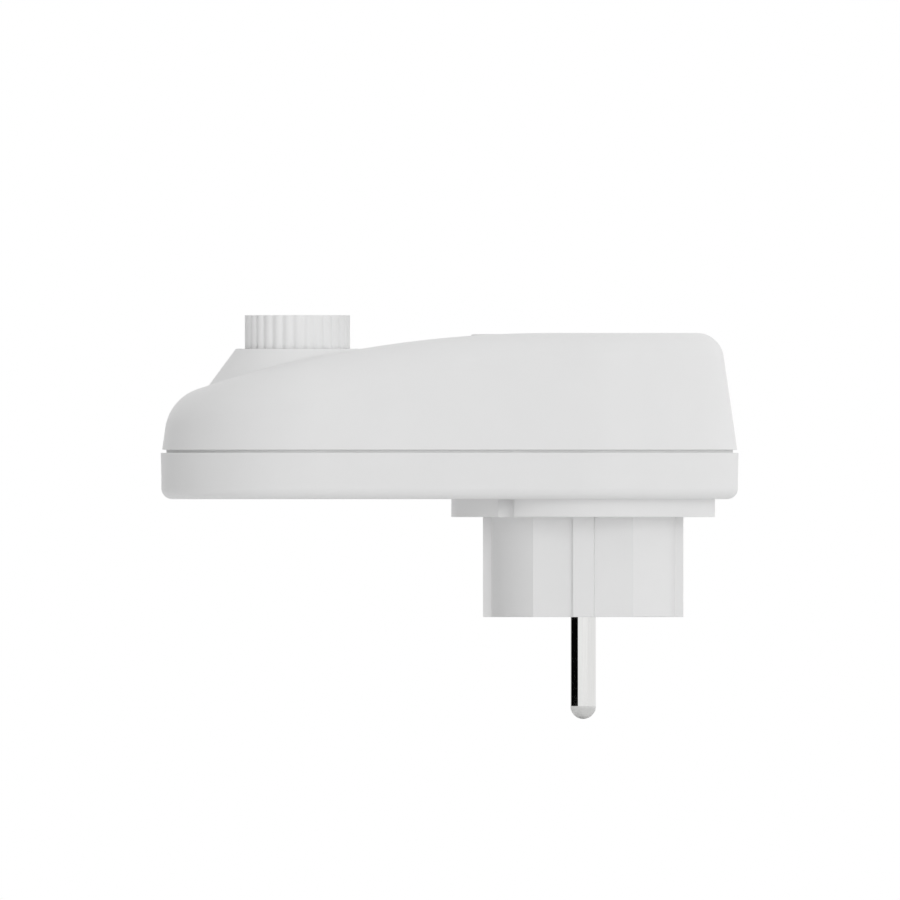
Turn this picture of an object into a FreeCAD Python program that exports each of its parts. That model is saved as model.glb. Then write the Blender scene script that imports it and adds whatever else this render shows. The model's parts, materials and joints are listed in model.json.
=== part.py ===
import FreeCAD, Part
import math
import os

# Plug-in power meter: a through adapter with an earthed two-pin plug below, the matching earthed
# outlet above it, and a housing to one side with a rotary selector and a small display.
# Origin: centre of the plug's end face, where the pins come out.
# +Z points from the pins to the outlet, +X from the selector to the outlet, all in millimetres.

V = FreeCAD.Vector

# ---------------------------------------------------------------- driving dimensions
PIN_R = 2.4
PIN_PITCH = 19.0
PIN_LENGTH = 19.0
PIN_TOP_Z = 12.0
PIN_ROOT_R = 2.1
PIN_SEAT_R = 2.7
PIN_SEAT_DEPTH = 0.4
PIN_SHOULDER_R = 2.25
PIN_STOP_R = 3.0
PIN_STOP_T = 1.0
PIN_TAIL_R = 1.8
PIN_BOSS_Z = 9.0
PIN_Y = PIN_PITCH / 2

PLUG_R = 18.0
PLUG_FLAT_Y = 15.4
PLUG_RIB_HALF = 1.9
PLUG_RIB_Y = 16.2
PLUG_LUG_X = 18.7
PLUG_LUG_HALF = 5.5
PLUG_WALL = 2.0
PLUG_END_WALL = 3.0
PLUG_Z = 18.65
FLANGE_R = 24.6
SPIGOT_R = 20.4
SPIGOT_TOP_Z = 25.9

BASE_Z = 22.0
SEAM_Z = 30.65
SEAM_GAP = 0.55
UPPER_Z = SEAM_Z + SEAM_GAP
LEFT_X = -49.8
LOWER_R = 29.0
LOWER_FOOT_R = 28.85
LOWER_EDGE_R = 2.05
LOWER_WALL = 2.2
FLOOR_T = 2.0
SEAM_LIP_R = 27.95
SEAM_EDGE_R = 0.1
UPPER_R = 28.75
UPPER_WALL = 2.2
DRAFT = 0.145
ROOF_Z = 53.0
ROOF_ARC_R = 212.6
ROOF_ARC_X = -6.1
SHOULDER_R = 5.0
NOSE_R = 8.9
TONGUE_R = 26.6
TONGUE_T = 1.4
TONGUE_DROP = 2.0

KNOB_X = -53.3
COLLAR_Z = 50.05
COLLAR_R = 11.5
COLLAR_SLOPE = 0.7386
KNOB_R = 9.85
KNOB_TOP_Z = 56.35
KNOB_RIBS = 30
KNOB_RIB_R = 1.1
KNOB_GROOVE_R = 0.55
KNOB_RIB_START = -89.0
KNOB_CLEARANCE = 0.35
KNOB_SINK = 0.35
KNOB_FOOT_Z = COLLAR_Z - KNOB_SINK

WELL_R = 19.5
WELL_DEPTH = 17.5
CUP_R = 21.0
CUP_TOP_Z = 52.8
CUP_FLOOR_T = 2.5
CUP_LEDGE_R = 18.5
CUP_LEDGE_T = 1.0
WELL_FLOOR_Z = CUP_TOP_Z - WELL_DEPTH
CUP_BOTTOM_Z = WELL_FLOOR_Z - CUP_FLOOR_T
OUTLET_HOLE_R = 2.75

SHUTTER_TURN = 35.0
SHUTTER_R = 13.8
SHUTTER_HOLE_R = 3.05
SHUTTER_RAMP = (5.2, 8.0, 2.0)
SHUTTER_RAMP_TILT = 14.0
SHUTTER_Z0 = 30.8
SHUTTER_Z1 = 32.5
PIVOT_R = 2.0
RUNNING_GAP = 0.05
FIT_GAP = 0.1

BOARD_Z = 28.0
BOARD_T = 1.6
BOARD_TOP = BOARD_Z + BOARD_T
BOARD_R = 24.2

SCREW_RING_R = 26.09
SCREW_RING_ANGLE = 35.7
SCREW_RECESS_R = 2.4
NOSE_SCREW = (-66.0, 17.0)

DISPLAY_X = -31.8
WINDOW = (5.5, 16.5)
LENS = (6.8, 18.0)

EDGE_R = 0.15
RIM_R = 0.5


# ---------------------------------------------------------------- helpers
def cyl(r, z0, z1, x=0.0, y=0.0):
    return Part.makeCylinder(r, z1 - z0, V(x, y, z0))


def ring(outer, inner, z0, z1, x=0.0, y=0.0):
    return cyl(outer, z0, z1, x, y).cut(cyl(inner, z0 - 1, z1 + 1, x, y))


def box(x0, x1, y0, y1, z0, z1):
    return Part.makeBox(x1 - x0, y1 - y0, z1 - z0, V(x0, y0, z0))


def centred_box(x, y, size_x, size_y, z0, z1):
    return box(x - size_x / 2, x + size_x / 2, y - size_y / 2, y + size_y / 2, z0, z1)


def fuse(first, *rest):
    shape = first.fuse(list(rest)).removeSplitter()
    return shape.Solids[0] if len(shape.Solids) == 1 else shape


def cut(first, *tools):
    shape = first.cut(list(tools)).removeSplitter()
    return shape.Solids[0] if len(shape.Solids) == 1 else shape


def edges_at(shape, z):
    """The level edges of a shape at one height."""
    return [e for e in shape.Edges if abs(e.BoundBox.ZMin - z) + abs(e.BoundBox.ZMax - z) < 0.01]


def rounded_at(shape, z, r):
    return shape.makeFillet(r, edges_at(shape, z))


def group(solids):
    return Part.makeCompound(list(solids))


def turned(shape, degrees, centre=V(0, 0, 0), axis=V(0, 0, 1)):
    copy = shape.copy()
    copy.rotate(centre, axis, degrees)
    return copy


def stadium_wire(r, z):
    a, b = V(LEFT_X, -r, z), V(0, -r, z)
    c, d = V(0, r, z), V(LEFT_X, r, z)
    edges = [
        Part.LineSegment(a, b),
        Part.Arc(b, V(r, 0, z), c),
        Part.LineSegment(c, d),
        Part.Arc(d, V(LEFT_X - r, 0, z), a),
    ]
    return Part.Wire([edge.toShape() for edge in edges])


def stadium(r0, z0, r1, z1):
    """The housing's plan outline, of end radius r0 at z0 and r1 at z1."""
    return Part.makeLoft([stadium_wire(r0, z0), stadium_wire(r1, z1)], True, True)


def polygon_prism(points, half_width):
    """A prism along Y from an outline of (x, z) points."""
    corners = [V(x, -half_width, z) for x, z in points]
    face = Part.Face(Part.makePolygon(corners + corners[:1]))
    return face.extrude(V(0, 2 * half_width, 0))


def bent_path(points, bend_r):
    """Straight runs through the points, joined by tangent arcs of one radius."""
    edges = []
    start = points[0]
    for here, corner, after in zip(points, points[1:], points[2:]):
        back = (here - corner).normalize()
        ahead = (after - corner).normalize()
        half_angle = back.getAngle(ahead) / 2
        reach = bend_r / math.tan(half_angle)
        enter = corner + back * reach
        leave = corner + ahead * reach
        middle_way = (back + ahead).normalize()
        to_centre = bend_r / math.sin(half_angle)
        middle = corner + middle_way * (to_centre - bend_r)
        edges.append(Part.LineSegment(start, enter).toShape())
        edges.append(Part.Arc(enter, middle, leave).toShape())
        start = leave
    edges.append(Part.LineSegment(start, points[-1]).toShape())
    return Part.Wire(edges)


def strip(points, bend_r, thickness, half_width):
    """A flat metal or film strip, bent along (x, z) points, as wide as 2 half_width in Y."""
    path_points = [V(x, 0, z) for x, z in points]
    path = bent_path(path_points, bend_r)
    along = (path_points[1] - path_points[0]).normalize()
    across = V(0, 1, 0)
    normal = along.cross(across)
    corners = [
        path_points[0] + across * (s * half_width) + normal * (t * thickness / 2)
        for s, t in ((-1, -1), (1, -1), (1, 1), (-1, 1))
    ]
    section = Part.makePolygon(corners + corners[:1])
    return path.makePipeShell([section], True, True)


def lead(points, bend_r, r):
    """A round insulated wire along the points."""
    path_points = [V(*p) for p in points]
    path = bent_path(path_points, bend_r)
    circle = Part.makeCircle(r, path_points[0], path_points[1] - path_points[0])
    return path.makePipeShell([Part.Wire(circle)], True, True)


RECESS_SLOT = 0.6
RECESS_REACH = 0.6


def cross_recess(x, y, z0, z1, head_r):
    reach = RECESS_REACH * head_r
    return [
        centred_box(x, y, 2 * reach, RECESS_SLOT, z0, z1),
        centred_box(x, y, RECESS_SLOT, 2 * reach, z0, z1),
    ]


def screw_up(x, y, seat_z, head_r, head_h, shank_r, length):
    """A pan-head screw put in from below: its head ends at seat_z and its shank runs up."""
    head = cyl(head_r, seat_z - head_h, seat_z, x, y)
    shank = cyl(shank_r, seat_z, seat_z + length, x, y)
    recess = cross_recess(x, y, seat_z - head_h - 1, seat_z - head_h / 2, head_r)
    return cut(fuse(head, shank), *recess)


def screw_down(x, y, seat_z, head_r, head_h, shank_r, length):
    """A pan-head screw put in from above."""
    head = cyl(head_r, seat_z, seat_z + head_h, x, y)
    shank = cyl(shank_r, seat_z - length, seat_z, x, y)
    recess = cross_recess(x, y, seat_z + head_h / 2, seat_z + head_h + 1, head_r)
    return cut(fuse(head, shank), *recess)


def roof_z(x, inset=0.0):
    """Height of the roof's long arc at x."""
    r = ROOF_ARC_R - inset
    return ROOF_Z - ROOF_ARC_R + math.sqrt(r * r - (x - ROOF_ARC_X) ** 2)


def save(name, shape):
    shape.exportStep(f"parts/{name}.step")


# ---------------------------------------------------------------- screw places
RING_ANGLE = math.radians(SCREW_RING_ANGLE)
RING_SCREW = (
    -SCREW_RING_R * math.sin(RING_ANGLE),
    SCREW_RING_R * math.cos(RING_ANGLE),
)
HOUSING_SCREWS = [
    (x, side * y) for x, y in (RING_SCREW, NOSE_SCREW) for side in (-1, 1)
]
HOUSING_SEAT_Z = 25.0
TOWER_R = 3.6
TOWER_TOP_Z = 27.0
BOSS_R = 2.9
BOARD_SCREWS = [(-38.0, -21.0), (-38.0, 21.0), (-70.5, -7.0), (-70.5, 7.0)]
CARRIER_SCREWS = [(12.0, -5.6), (12.0, 5.6), (-12.0, 5.6)]
LEAD_HOLE = (-12.0, -5.6)
CUP_LEG_RING_R = 17.0
CUP_LEG_ANGLES = (60, 120, 240, 300)


# ---------------------------------------------------------------- lower shell
BOARD_POST_R = 2.2
BOARD_PILOT_R = 1.05
SCREW_CLEAR_R = 1.5
LABEL_X = (-67.8, -32.2)
LABEL_HALF = 12.8
LABEL_R = 1.4
LABEL_Z = (BASE_Z + 0.05, BASE_Z + 0.2)
LABEL_GAP = 0.2


def lower_shell():
    outer = stadium(LOWER_FOOT_R, BASE_Z, LOWER_R, SEAM_Z)
    outer = rounded_at(outer, BASE_Z, LOWER_EDGE_R)
    outer = rounded_at(outer, SEAM_Z, SEAM_EDGE_R)
    lip = stadium(SEAM_LIP_R, SEAM_Z - 1, SEAM_LIP_R, UPPER_Z)
    floor_z = BASE_Z + FLOOR_T
    inner_r = LOWER_R - LOWER_WALL
    cavity = stadium(inner_r, floor_z, inner_r, UPPER_Z + 1)
    shell = cut(fuse(outer, lip), cavity)
    towers = [cyl(TOWER_R, floor_z - 1, TOWER_TOP_Z, x, y) for x, y in HOUSING_SCREWS]
    posts = [cyl(BOARD_POST_R, floor_z - 1, BOARD_Z, x, y) for x, y in BOARD_SCREWS]
    holes = [cyl(SPIGOT_R + FIT_GAP, BASE_Z - 1, floor_z + 1)]
    for x, y in HOUSING_SCREWS:
        holes.append(cyl(SCREW_RECESS_R, BASE_Z - 1, HOUSING_SEAT_Z, x, y))
        holes.append(cyl(SCREW_CLEAR_R, HOUSING_SEAT_Z - 1, TOWER_TOP_Z + 1, x, y))
    holes += [cyl(BOARD_PILOT_R, floor_z + 0.5, BOARD_Z + 1, x, y) for x, y in BOARD_SCREWS]
    x0, x1, half = LABEL_X[0] - LABEL_GAP, LABEL_X[1] + LABEL_GAP, LABEL_HALF + LABEL_GAP
    pocket = rounded_plate(x0, x1, -half, half, LABEL_R + FIT_GAP, BASE_Z - 1, LABEL_Z[1])
    return cut(fuse(shell, *towers, *posts), *holes, pocket)


def rounded_plate(x0, x1, y0, y1, corner_r, z0, z1):
    plate = box(x0, x1, y0, y1, z0, z1)
    upright = [e for e in plate.Edges if e.BoundBox.ZLength > (z1 - z0) * 0.9]
    return plate.makeFillet(corner_r, upright)


def rating_label():
    return rounded_plate(*LABEL_X, -LABEL_HALF, LABEL_HALF, LABEL_R, *LABEL_Z)


# ---------------------------------------------------------------- upper shell
BLOCK_REACH = 40.0
BLOCK_RISE = 7.0


def roof_block(inset):
    """Everything under the roof: a level stretch over the outlet and one long arc to the nose."""
    left, right, half = LEFT_X - BLOCK_REACH, BLOCK_REACH, BLOCK_REACH
    middle_x = (left + ROOF_ARC_X) / 2
    top = ROOF_Z - inset
    arc = Part.Arc(
        V(left, -half, roof_z(left, inset)),
        V(middle_x, -half, roof_z(middle_x, inset)),
        V(ROOF_ARC_X, -half, top),
    )
    rest = [V(ROOF_ARC_X, -half, top), V(right, -half, top), V(right, -half, 0)]
    rest += [V(left, -half, 0), V(left, -half, roof_z(left, inset))]
    wire = Part.Wire([arc.toShape()] + Part.makePolygon(rest).Edges)
    return Part.Face(wire).extrude(V(0, 2 * half, 0))


def housing_form(inset, z0):
    """The upper shell's rounded outside, or its inside at an inset, from z0 up."""
    z1 = ROOF_Z + BLOCK_RISE
    r0 = UPPER_R - inset - DRAFT * (z0 - UPPER_Z)
    r1 = UPPER_R - inset - DRAFT * (z1 - UPPER_Z)
    form = stadium(r0, z0, r1, z1).common(roof_block(inset)).Solids[0]
    shoulder, nose = SHOULDER_R - inset, NOSE_R - inset
    radii = []
    for number, edge in enumerate(form.Edges, 1):
        span = edge.BoundBox
        beside = [f for f in form.Faces if any(e.isSame(edge) for e in f.Edges)]
        roof_faces = [f for f in beside if f.normalAt(*middle_of(f)).z > 0.8]
        if len(roof_faces) != 1:
            continue
        if span.XMax < LEFT_X + 0.1:
            radii.append((number, nose, nose))
        elif span.XMin > LEFT_X + 0.1:
            radii.append((number, shoulder, shoulder))
        elif edge.valueAt(edge.FirstParameter).x < edge.valueAt(edge.LastParameter).x:
            radii.append((number, nose, shoulder))
        else:
            radii.append((number, shoulder, nose))
    plain = DOC.addObject("Part::Feature", "plain")
    plain.Shape = form
    rounded = DOC.addObject("Part::Fillet", "rounded")
    rounded.Base = plain
    rounded.Edges = radii
    DOC.recompute()
    return rounded.Shape.Solids[0]


def middle_of(face):
    u0, u1, v0, v1 = face.ParameterRange
    return (u0 + u1) / 2, (v0 + v1) / 2


def on_display(shape):
    """Places a shape built about the display's own origin on the sloping roof."""
    tilt = math.degrees(math.asin((DISPLAY_X - ROOF_ARC_X) / ROOF_ARC_R))
    placed = shape.copy()
    placed.rotate(V(0, 0, 0), V(0, 1, 0), tilt)
    placed.translate(V(DISPLAY_X, 0, roof_z(DISPLAY_X)))
    return placed


# heights and places on the display are about its own origin, a point on the roof
DISPLAY_POSTS = [(x, y) for x in (-4.5, 4.5) for y in (-21.0, 21.0)]
DISPLAY_POST_R = 1.8
DISPLAY_PILOT_R = 0.85
DISPLAY_THREAD = 3.1
DISPLAY_BOARD_Z = -6.3
DISPLAY_BOARD_T = 1.0
LENS_R = 1.5
LENS_GAP = 0.2
LENS_SEAT_Z = -1.25
LENS_Z = (-1.1, -0.25)
WINDOW_R = 0.6

# the crease's radius where it starts, towards the nose, and where it ends, towards the outlet
CREASE_R = (0.3, 2.5)
COLLAR_DEPTH = 10.0
COLLAR_WALL = 2.0
HOLLOW_DEPTH = 8.5
KNOB_HOLE_R = 5.3
TONGUE_ROOT = 1.75
HOUSING_PILOT_R = 1.25
HOUSING_THREAD = 11.5


def knob_collar():
    """The conical collar that rises round the knob, with a shallow seat for the knob's foot."""
    foot_r = COLLAR_R + COLLAR_SLOPE * COLLAR_DEPTH
    foot_z = COLLAR_Z - COLLAR_DEPTH
    cone = Part.makeCone(foot_r, COLLAR_R, COLLAR_DEPTH, V(KNOB_X, 0, foot_z))
    return rounded_at(cone, COLLAR_Z, EDGE_R)


def rounded_crease(shape):
    """Rounds the crease where the collar runs into the roof, ever softer towards the outlet."""
    reach = 2 * (COLLAR_Z - KNOB_X)
    halves = []
    for side in (-1, 1):
        half = shape.common(box(-reach, reach, *sorted((0, side * reach)), 0, reach))
        for face in half.Faces:
            if face.Surface.TypeId == "Part::GeomCone" and face.BoundBox.ZMax > COLLAR_Z - 2 * EDGE_R:
                rising = [edge for edge in face.Edges if edge.BoundBox.ZLength > EDGE_R]
                crease = max(rising, key=lambda edge: edge.Length)
        start, end = [vertex.X for vertex in crease.Vertexes]
        radii = CREASE_R if start < end else CREASE_R[::-1]
        halves.append(half.makeFillet(*radii, [crease]))
    return fuse(*halves)


def collar_hollow():
    wall_step = COLLAR_WALL * math.sqrt(1 + COLLAR_SLOPE**2)
    top_z = COLLAR_Z - COLLAR_WALL
    top_r = COLLAR_R - wall_step + COLLAR_SLOPE * COLLAR_WALL
    foot_r = top_r + COLLAR_SLOPE * HOLLOW_DEPTH
    return Part.makeCone(foot_r, top_r, HOLLOW_DEPTH, V(KNOB_X, 0, top_z - HOLLOW_DEPTH))


def tongue_ring():
    """The tongue that locates the upper shell inside the lower one."""
    z0, z1 = UPPER_Z - TONGUE_DROP, UPPER_Z + TONGUE_ROOT
    inner_r = TONGUE_R - TONGUE_T
    void = stadium(inner_r, z0 - 1, inner_r, z1 + 1)
    return stadium(TONGUE_R, z0, TONGUE_R, z1).cut(void)


def upper_shell():
    outer = housing_form(0.0, UPPER_Z)
    outer = rounded_at(outer, UPPER_Z, SEAM_EDGE_R)
    inner = housing_form(UPPER_WALL, BOARD_Z)
    shell = cut(rounded_crease(fuse(outer, knob_collar())), inner, collar_hollow())
    bosses = []
    for x, y in HOUSING_SCREWS:
        bosses.append(cyl(BOSS_R, TOWER_TOP_Z, UPPER_Z + 1, x, y))
        bosses.append(cyl(BOSS_R, UPPER_Z + 0.5, ROOF_Z + 2, x, y).common(outer))
    for x, y in DISPLAY_POSTS:
        post = on_display(cyl(DISPLAY_POST_R, DISPLAY_BOARD_Z, 1.0, x, y))
        bosses.append(post.common(outer))
    shell = fuse(shell, tongue_ring(), *bosses)

    holes = [cyl(CUP_R + FIT_GAP, ROOF_Z - COLLAR_DEPTH, ROOF_Z + 2)]
    holes.append(cyl(KNOB_HOLE_R, COLLAR_Z - COLLAR_DEPTH, COLLAR_Z + 1, KNOB_X))
    seat_z = KNOB_FOOT_Z - KNOB_SINK
    holes.append(cyl(KNOB_R + KNOB_CLEARANCE, seat_z, COLLAR_Z + 1, KNOB_X))
    screw_top = TOWER_TOP_Z + HOUSING_THREAD
    holes += [cyl(HOUSING_PILOT_R, TOWER_TOP_Z - 1, screw_top, x, y) for x, y in HOUSING_SCREWS]
    pilot_z = DISPLAY_BOARD_Z + DISPLAY_THREAD
    for x, y in DISPLAY_POSTS:
        holes.append(on_display(cyl(DISPLAY_PILOT_R, DISPLAY_BOARD_Z - 1, pilot_z, x, y)))
    half_x, half_y = LENS[0] + LENS_GAP, LENS[1] + LENS_GAP
    recess = rounded_plate(-half_x, half_x, -half_y, half_y, LENS_R + LENS_GAP, LENS_SEAT_Z, 3)
    window = rounded_plate(-WINDOW[0], WINDOW[0], -WINDOW[1], WINDOW[1], WINDOW_R, -5, 3)
    holes += [on_display(recess), on_display(window)]
    return cut(shell, *holes)


# ---------------------------------------------------------------- plug side
SPIGOT_WALL = 2.0
PIN_BOSS_R = 3.9
PRESS_GAP = 0.02
CARRIER_POST_R = 2.6
HOOK_Z = 24.15
HOOK_TOP_Z = 25.7
HOOK_REACH = 0.9
HOOK_HALF = 3.0
HOOK_ANGLES = (45, 135, 225, 315)
CHANNEL_X = 17.4
CHANNEL_HALF = 2.6
CHANNEL_FOOT_Z = 1.0
CHANNEL_SLOT = 1.2
CARRIER_PILOT_R = 1.0
CARRIER_PILOT = 9.0
CONTACT_R = 3.4
CONTACT_BORE_R = 2.45
CONTACT_COLLAR_R = 4.4
CONTACT_COLLAR_T = 0.7
CONTACT_TAIL_R = 1.5
CONTACT_FLOOR_T = 0.8
CONTACT_SLIT = 0.7
BARREL_X = (-8.0, -3.0)
BARREL_HALF = 1.3
CONTACT_TOP_Z = 30.2
CONTACT_FOOT_Z = 15.2
CARRIER_Z = 24.0
CARRIER_TOP_Z = 26.0
TUBE_R = 4.6
TUBE_HALF_X = 10.0
CARRIER_NOTCH_X = 16.2
CARRIER_NOTCH_HALF = 2.8
CARRIER_CLEAR_R = 1.2
CARRIER_HEAD_R = 1.9
LEAD_HOLE_R = 1.9
RIVET_SINK = 0.8
PLUG_LINE_R = 0.125
PLUG_LINE_DEPTH = 0.09
PLUG_LINE_Z = 0.25


def plug_outside():
    """The plug body: two flats, ribs with a fine line beside them, side lugs, a flange above."""
    top_z = PLUG_Z + 1
    body = cyl(PLUG_R, 0, top_z)
    body = body.common(box(-PLUG_R, PLUG_R, -PLUG_FLAT_Y, PLUG_FLAT_Y, 0, top_z))
    rib = box(-PLUG_RIB_HALF, PLUG_RIB_HALF, -PLUG_RIB_Y, PLUG_RIB_Y, 0, top_z)
    lugs = box(-PLUG_LUG_X, PLUG_LUG_X, -PLUG_LUG_HALF, PLUG_LUG_HALF, 0, top_z)
    line_x = PLUG_RIB_HALF + PLUG_LINE_R
    line_y = PLUG_FLAT_Y + PLUG_LINE_R - PLUG_LINE_DEPTH
    lines = [cyl(PLUG_LINE_R, PLUG_LINE_Z, top_z, line_x, side * line_y) for side in (-1, 1)]
    outside = cut(rounded_at(fuse(body, rib, lugs), 0, EDGE_R), *lines)
    flange = rounded_at(cyl(FLANGE_R, PLUG_Z, BASE_Z), PLUG_Z, EDGE_R)
    return fuse(outside, flange, cyl(SPIGOT_R, PLUG_Z + 1, SPIGOT_TOP_Z))


def plug_void():
    inner_r = PLUG_R - PLUG_WALL
    inner_y = PLUG_FLAT_Y - PLUG_WALL
    void = cyl(inner_r, PLUG_END_WALL, BASE_Z + 1)
    void = void.common(box(-inner_r, inner_r, -inner_y, inner_y, 0, BASE_Z + 1))
    return void.fuse(cyl(SPIGOT_R - SPIGOT_WALL, BASE_Z, SPIGOT_TOP_Z + 1))


def snap_hook():
    """A hook on the spigot's rim that holds the lower shell's floor."""
    inner, outer = SPIGOT_R - 0.4, SPIGOT_R + HOOK_REACH
    outline = [(inner, HOOK_Z), (outer, HOOK_Z), (SPIGOT_R - 0.1, HOOK_TOP_Z), (inner, HOOK_TOP_Z)]
    return polygon_prism(outline, HOOK_HALF)


def earth_channels():
    """A groove down each side of the plug, and its slot up through the spigot."""
    tools = []
    for side in (-1, 1):
        x0, x1 = sorted((side * CHANNEL_X, side * (PLUG_LUG_X + 1)))
        tools.append(box(x0, x1, -CHANNEL_HALF, CHANNEL_HALF, CHANNEL_FOOT_Z, PLUG_Z))
        x0, x1 = sorted((side * CHANNEL_X, side * (CHANNEL_X + CHANNEL_SLOT)))
        tools.append(box(x0, x1, -CHANNEL_HALF, CHANNEL_HALF, PLUG_Z - 1, SPIGOT_TOP_Z + 1))
    return tools


def plug_insert():
    solid = cut(plug_outside(), plug_void())
    pin_bosses = [cyl(PIN_BOSS_R, 1, PIN_BOSS_Z, 0, side * PIN_Y) for side in (-1, 1)]
    posts = [cyl(CARRIER_POST_R, 1, CARRIER_Z, x, y) for x, y in CARRIER_SCREWS]
    hooks = [turned(snap_hook(), angle) for angle in HOOK_ANGLES]
    solid = fuse(solid, *pin_bosses, *posts, *hooks)

    tools = earth_channels()
    for side in (-1, 1):
        y = side * PIN_Y
        tools.append(cyl(PIN_ROOT_R + PRESS_GAP, -1, PIN_BOSS_Z + 1, 0, y))
        tools.append(cyl(PIN_SEAT_R, -1, PIN_SEAT_DEPTH, 0, y))
        x, y = RING_SCREW
        tools.append(cyl(SCREW_RECESS_R, PLUG_Z - 1, BASE_Z + 1, x, side * y))
    pilot_z = CARRIER_Z - CARRIER_PILOT
    tools += [cyl(CARRIER_PILOT_R, pilot_z, CARRIER_Z + 1, x, y) for x, y in CARRIER_SCREWS]
    return cut(solid, *tools)


def pin(side):
    """A plug pin: its coned shoulder seats in the plug's end, its stop bears on the boss inside."""
    y = side * PIN_Y
    shank = cyl(PIN_R, PIN_R - PIN_LENGTH, 0, 0, y)
    tip = Part.makeSphere(PIN_R, V(0, y, PIN_R - PIN_LENGTH))
    shoulder = Part.makeCone(PIN_R, PIN_SHOULDER_R, PIN_SEAT_DEPTH, V(0, y, 0))
    root = cyl(PIN_ROOT_R, 0, PIN_BOSS_Z, 0, y)
    stop = cyl(PIN_STOP_R, PIN_BOSS_Z, PIN_BOSS_Z + PIN_STOP_T, 0, y)
    tail = cyl(PIN_TAIL_R, PIN_BOSS_Z, PIN_TOP_Z, 0, y)
    return fuse(shank, tip, shoulder, root, stop, tail)


def tulip_contact(side, has_tail):
    """A slit sleeve that grips a mating pin, with a crimp barrel for its lead."""
    y = side * PIN_Y
    floor_z = CONTACT_FOOT_Z + CONTACT_FLOOR_T
    barrel_z = CARRIER_TOP_Z + 2 * BARREL_HALF
    sleeve = cyl(CONTACT_R, CONTACT_FOOT_Z, CONTACT_TOP_Z, 0, y)
    collar = cyl(CONTACT_COLLAR_R, CARRIER_TOP_Z, CARRIER_TOP_Z + CONTACT_COLLAR_T, 0, y)
    barrel = box(*BARREL_X, y - BARREL_HALF, y + BARREL_HALF, CARRIER_TOP_Z, barrel_z)
    parts = [collar, barrel]
    if has_tail:
        parts.append(cyl(CONTACT_TAIL_R, PIN_TOP_Z, floor_z, 0, y))
    bore = cyl(CONTACT_BORE_R, floor_z, CONTACT_TOP_Z + 1, 0, y)
    slit_z = CARRIER_TOP_Z + 1.0
    half = CONTACT_SLIT / 2
    slits = [
        centred_box(0, y, CONTACT_SLIT, 3 * CONTACT_R, slit_z, CONTACT_TOP_Z + 1),
        box(0, 2 * CONTACT_R, y - half, y + half, slit_z, CONTACT_TOP_Z + 1),
    ]
    return cut(fuse(sleeve, *parts), bore, *slits)


def contact_carrier():
    """A plate with two tubes that hold the contacts, cut away for the earth strip and the leads."""
    plate = cyl(SPIGOT_R - SPIGOT_WALL - 4 * FIT_GAP, CARRIER_Z, CARRIER_TOP_Z)
    tube_z = CONTACT_FOOT_Z - 0.2
    step_z = BASE_Z + 0.2
    half_y = PLUG_FLAT_Y - PLUG_WALL - FIT_GAP
    below = box(-TUBE_HALF_X, TUBE_HALF_X, -half_y, half_y, tube_z - 1, step_z)
    above = box(-TUBE_HALF_X, TUBE_HALF_X, -SPIGOT_R, SPIGOT_R, step_z, CARRIER_Z + 1)
    room = fuse(below, above)
    z0, z1 = CARRIER_Z - 1, CARRIER_TOP_Z + 1
    tubes = []
    holes = []
    for side in (-1, 1):
        y = side * PIN_Y
        tubes.append(cyl(TUBE_R, tube_z, z1 - 2, 0, y).common(room))
        holes.append(cyl(CONTACT_R + FIT_GAP, tube_z - 1, z1, 0, y))
        x0, x1 = sorted((side * CARRIER_NOTCH_X, side * SPIGOT_R))
        holes.append(box(x0, x1, -CARRIER_NOTCH_HALF, CARRIER_NOTCH_HALF, z0, z1))
    holes += [cyl(CARRIER_CLEAR_R, z0, z1, x, y) for x, y in CARRIER_SCREWS]
    holes.append(cyl(LEAD_HOLE_R, z0, z1, *LEAD_HOLE))
    rivet_z = CARRIER_TOP_Z - RIVET_SINK
    holes += [cyl(RIVET_HEAD_R + 2 * FIT_GAP, rivet_z, z1, x) for x in EARTH_RIVETS]
    return cut(fuse(plate, *tubes), *holes)


def carrier_screws():
    head_h, shank_r, length = 1.2, 0.95, 9.0
    screws = []
    for x, y in CARRIER_SCREWS:
        screws.append(screw_down(x, y, CARRIER_TOP_Z, CARRIER_HEAD_R, head_h, shank_r, length))
    return group(screws)


# ---------------------------------------------------------------- earth path
EARTH_T = 0.7
EARTH_HALF = 2.5
EARTH_RIVETS = (-8.5, 8.5)
RIVET_R = 1.0
RIVET_HEAD_R = 1.7
RIVET_HEAD_T = 0.5
RIVET_TAIL_T = 0.6
PLUG_STRIP_X = 17.9
PLUG_STRIP_END_Z = 1.5
EARTH_CLIP = [(21.6, 48.3), (19.3, 49.2), (17.75, 44.0), (19.9, 38.0)]
PLUG_STRIP_Z = CARRIER_TOP_Z + 0.05 + EARTH_T / 2
OUTLET_STRIP_Z = PLUG_STRIP_Z + EARTH_T


def mirrored_run(half_run):
    """A run across the axis from its right half, given from the middle outwards."""
    left = [(-x, z) for x, z in reversed(half_run)]
    return left + half_run


def riveted(shape, z):
    return cut(shape, *[cyl(RIVET_R, z - 1, z + 1, x) for x in EARTH_RIVETS])


def earth_plug_strip():
    run = mirrored_run([(PLUG_STRIP_X, PLUG_STRIP_Z), (PLUG_STRIP_X, PLUG_STRIP_END_Z)])
    return riveted(strip(run, 1.2, EARTH_T, EARTH_HALF), PLUG_STRIP_Z)


def earth_outlet_strip():
    half_run = [(EARTH_CLIP[0][0], OUTLET_STRIP_Z)] + EARTH_CLIP
    return riveted(strip(mirrored_run(half_run), 0.9, EARTH_T, EARTH_HALF), OUTLET_STRIP_Z)


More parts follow.
